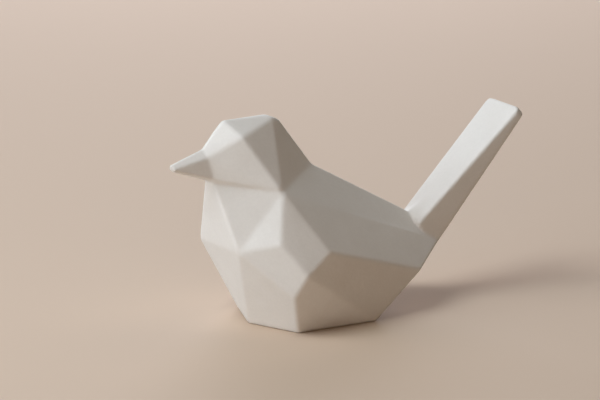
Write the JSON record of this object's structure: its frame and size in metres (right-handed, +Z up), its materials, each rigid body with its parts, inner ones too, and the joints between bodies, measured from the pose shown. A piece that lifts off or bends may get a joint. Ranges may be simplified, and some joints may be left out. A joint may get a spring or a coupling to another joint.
{
  "type": "ceramic bird figurine",
  "caption": "Small faceted songbird figurine in matt white ceramic, with a raised tail and a flat underside that it stands on.",
  "frame": {"origin": "middle of the flat underside, on the plane that both sides of the bird are mirrored about", "axes": "+Z up, +X from the beak towards the tail so that the bird looks along -X, +Y towards the bird's right side"},
  "size_m": [0.1735, 0.0734, 0.0917],
  "materials": {
    "ceramic": "matt, unglazed warm white"
  },
  "bodies": {
    "root": {"bird_figurine": "ceramic"}
  },
  "joints": []
}
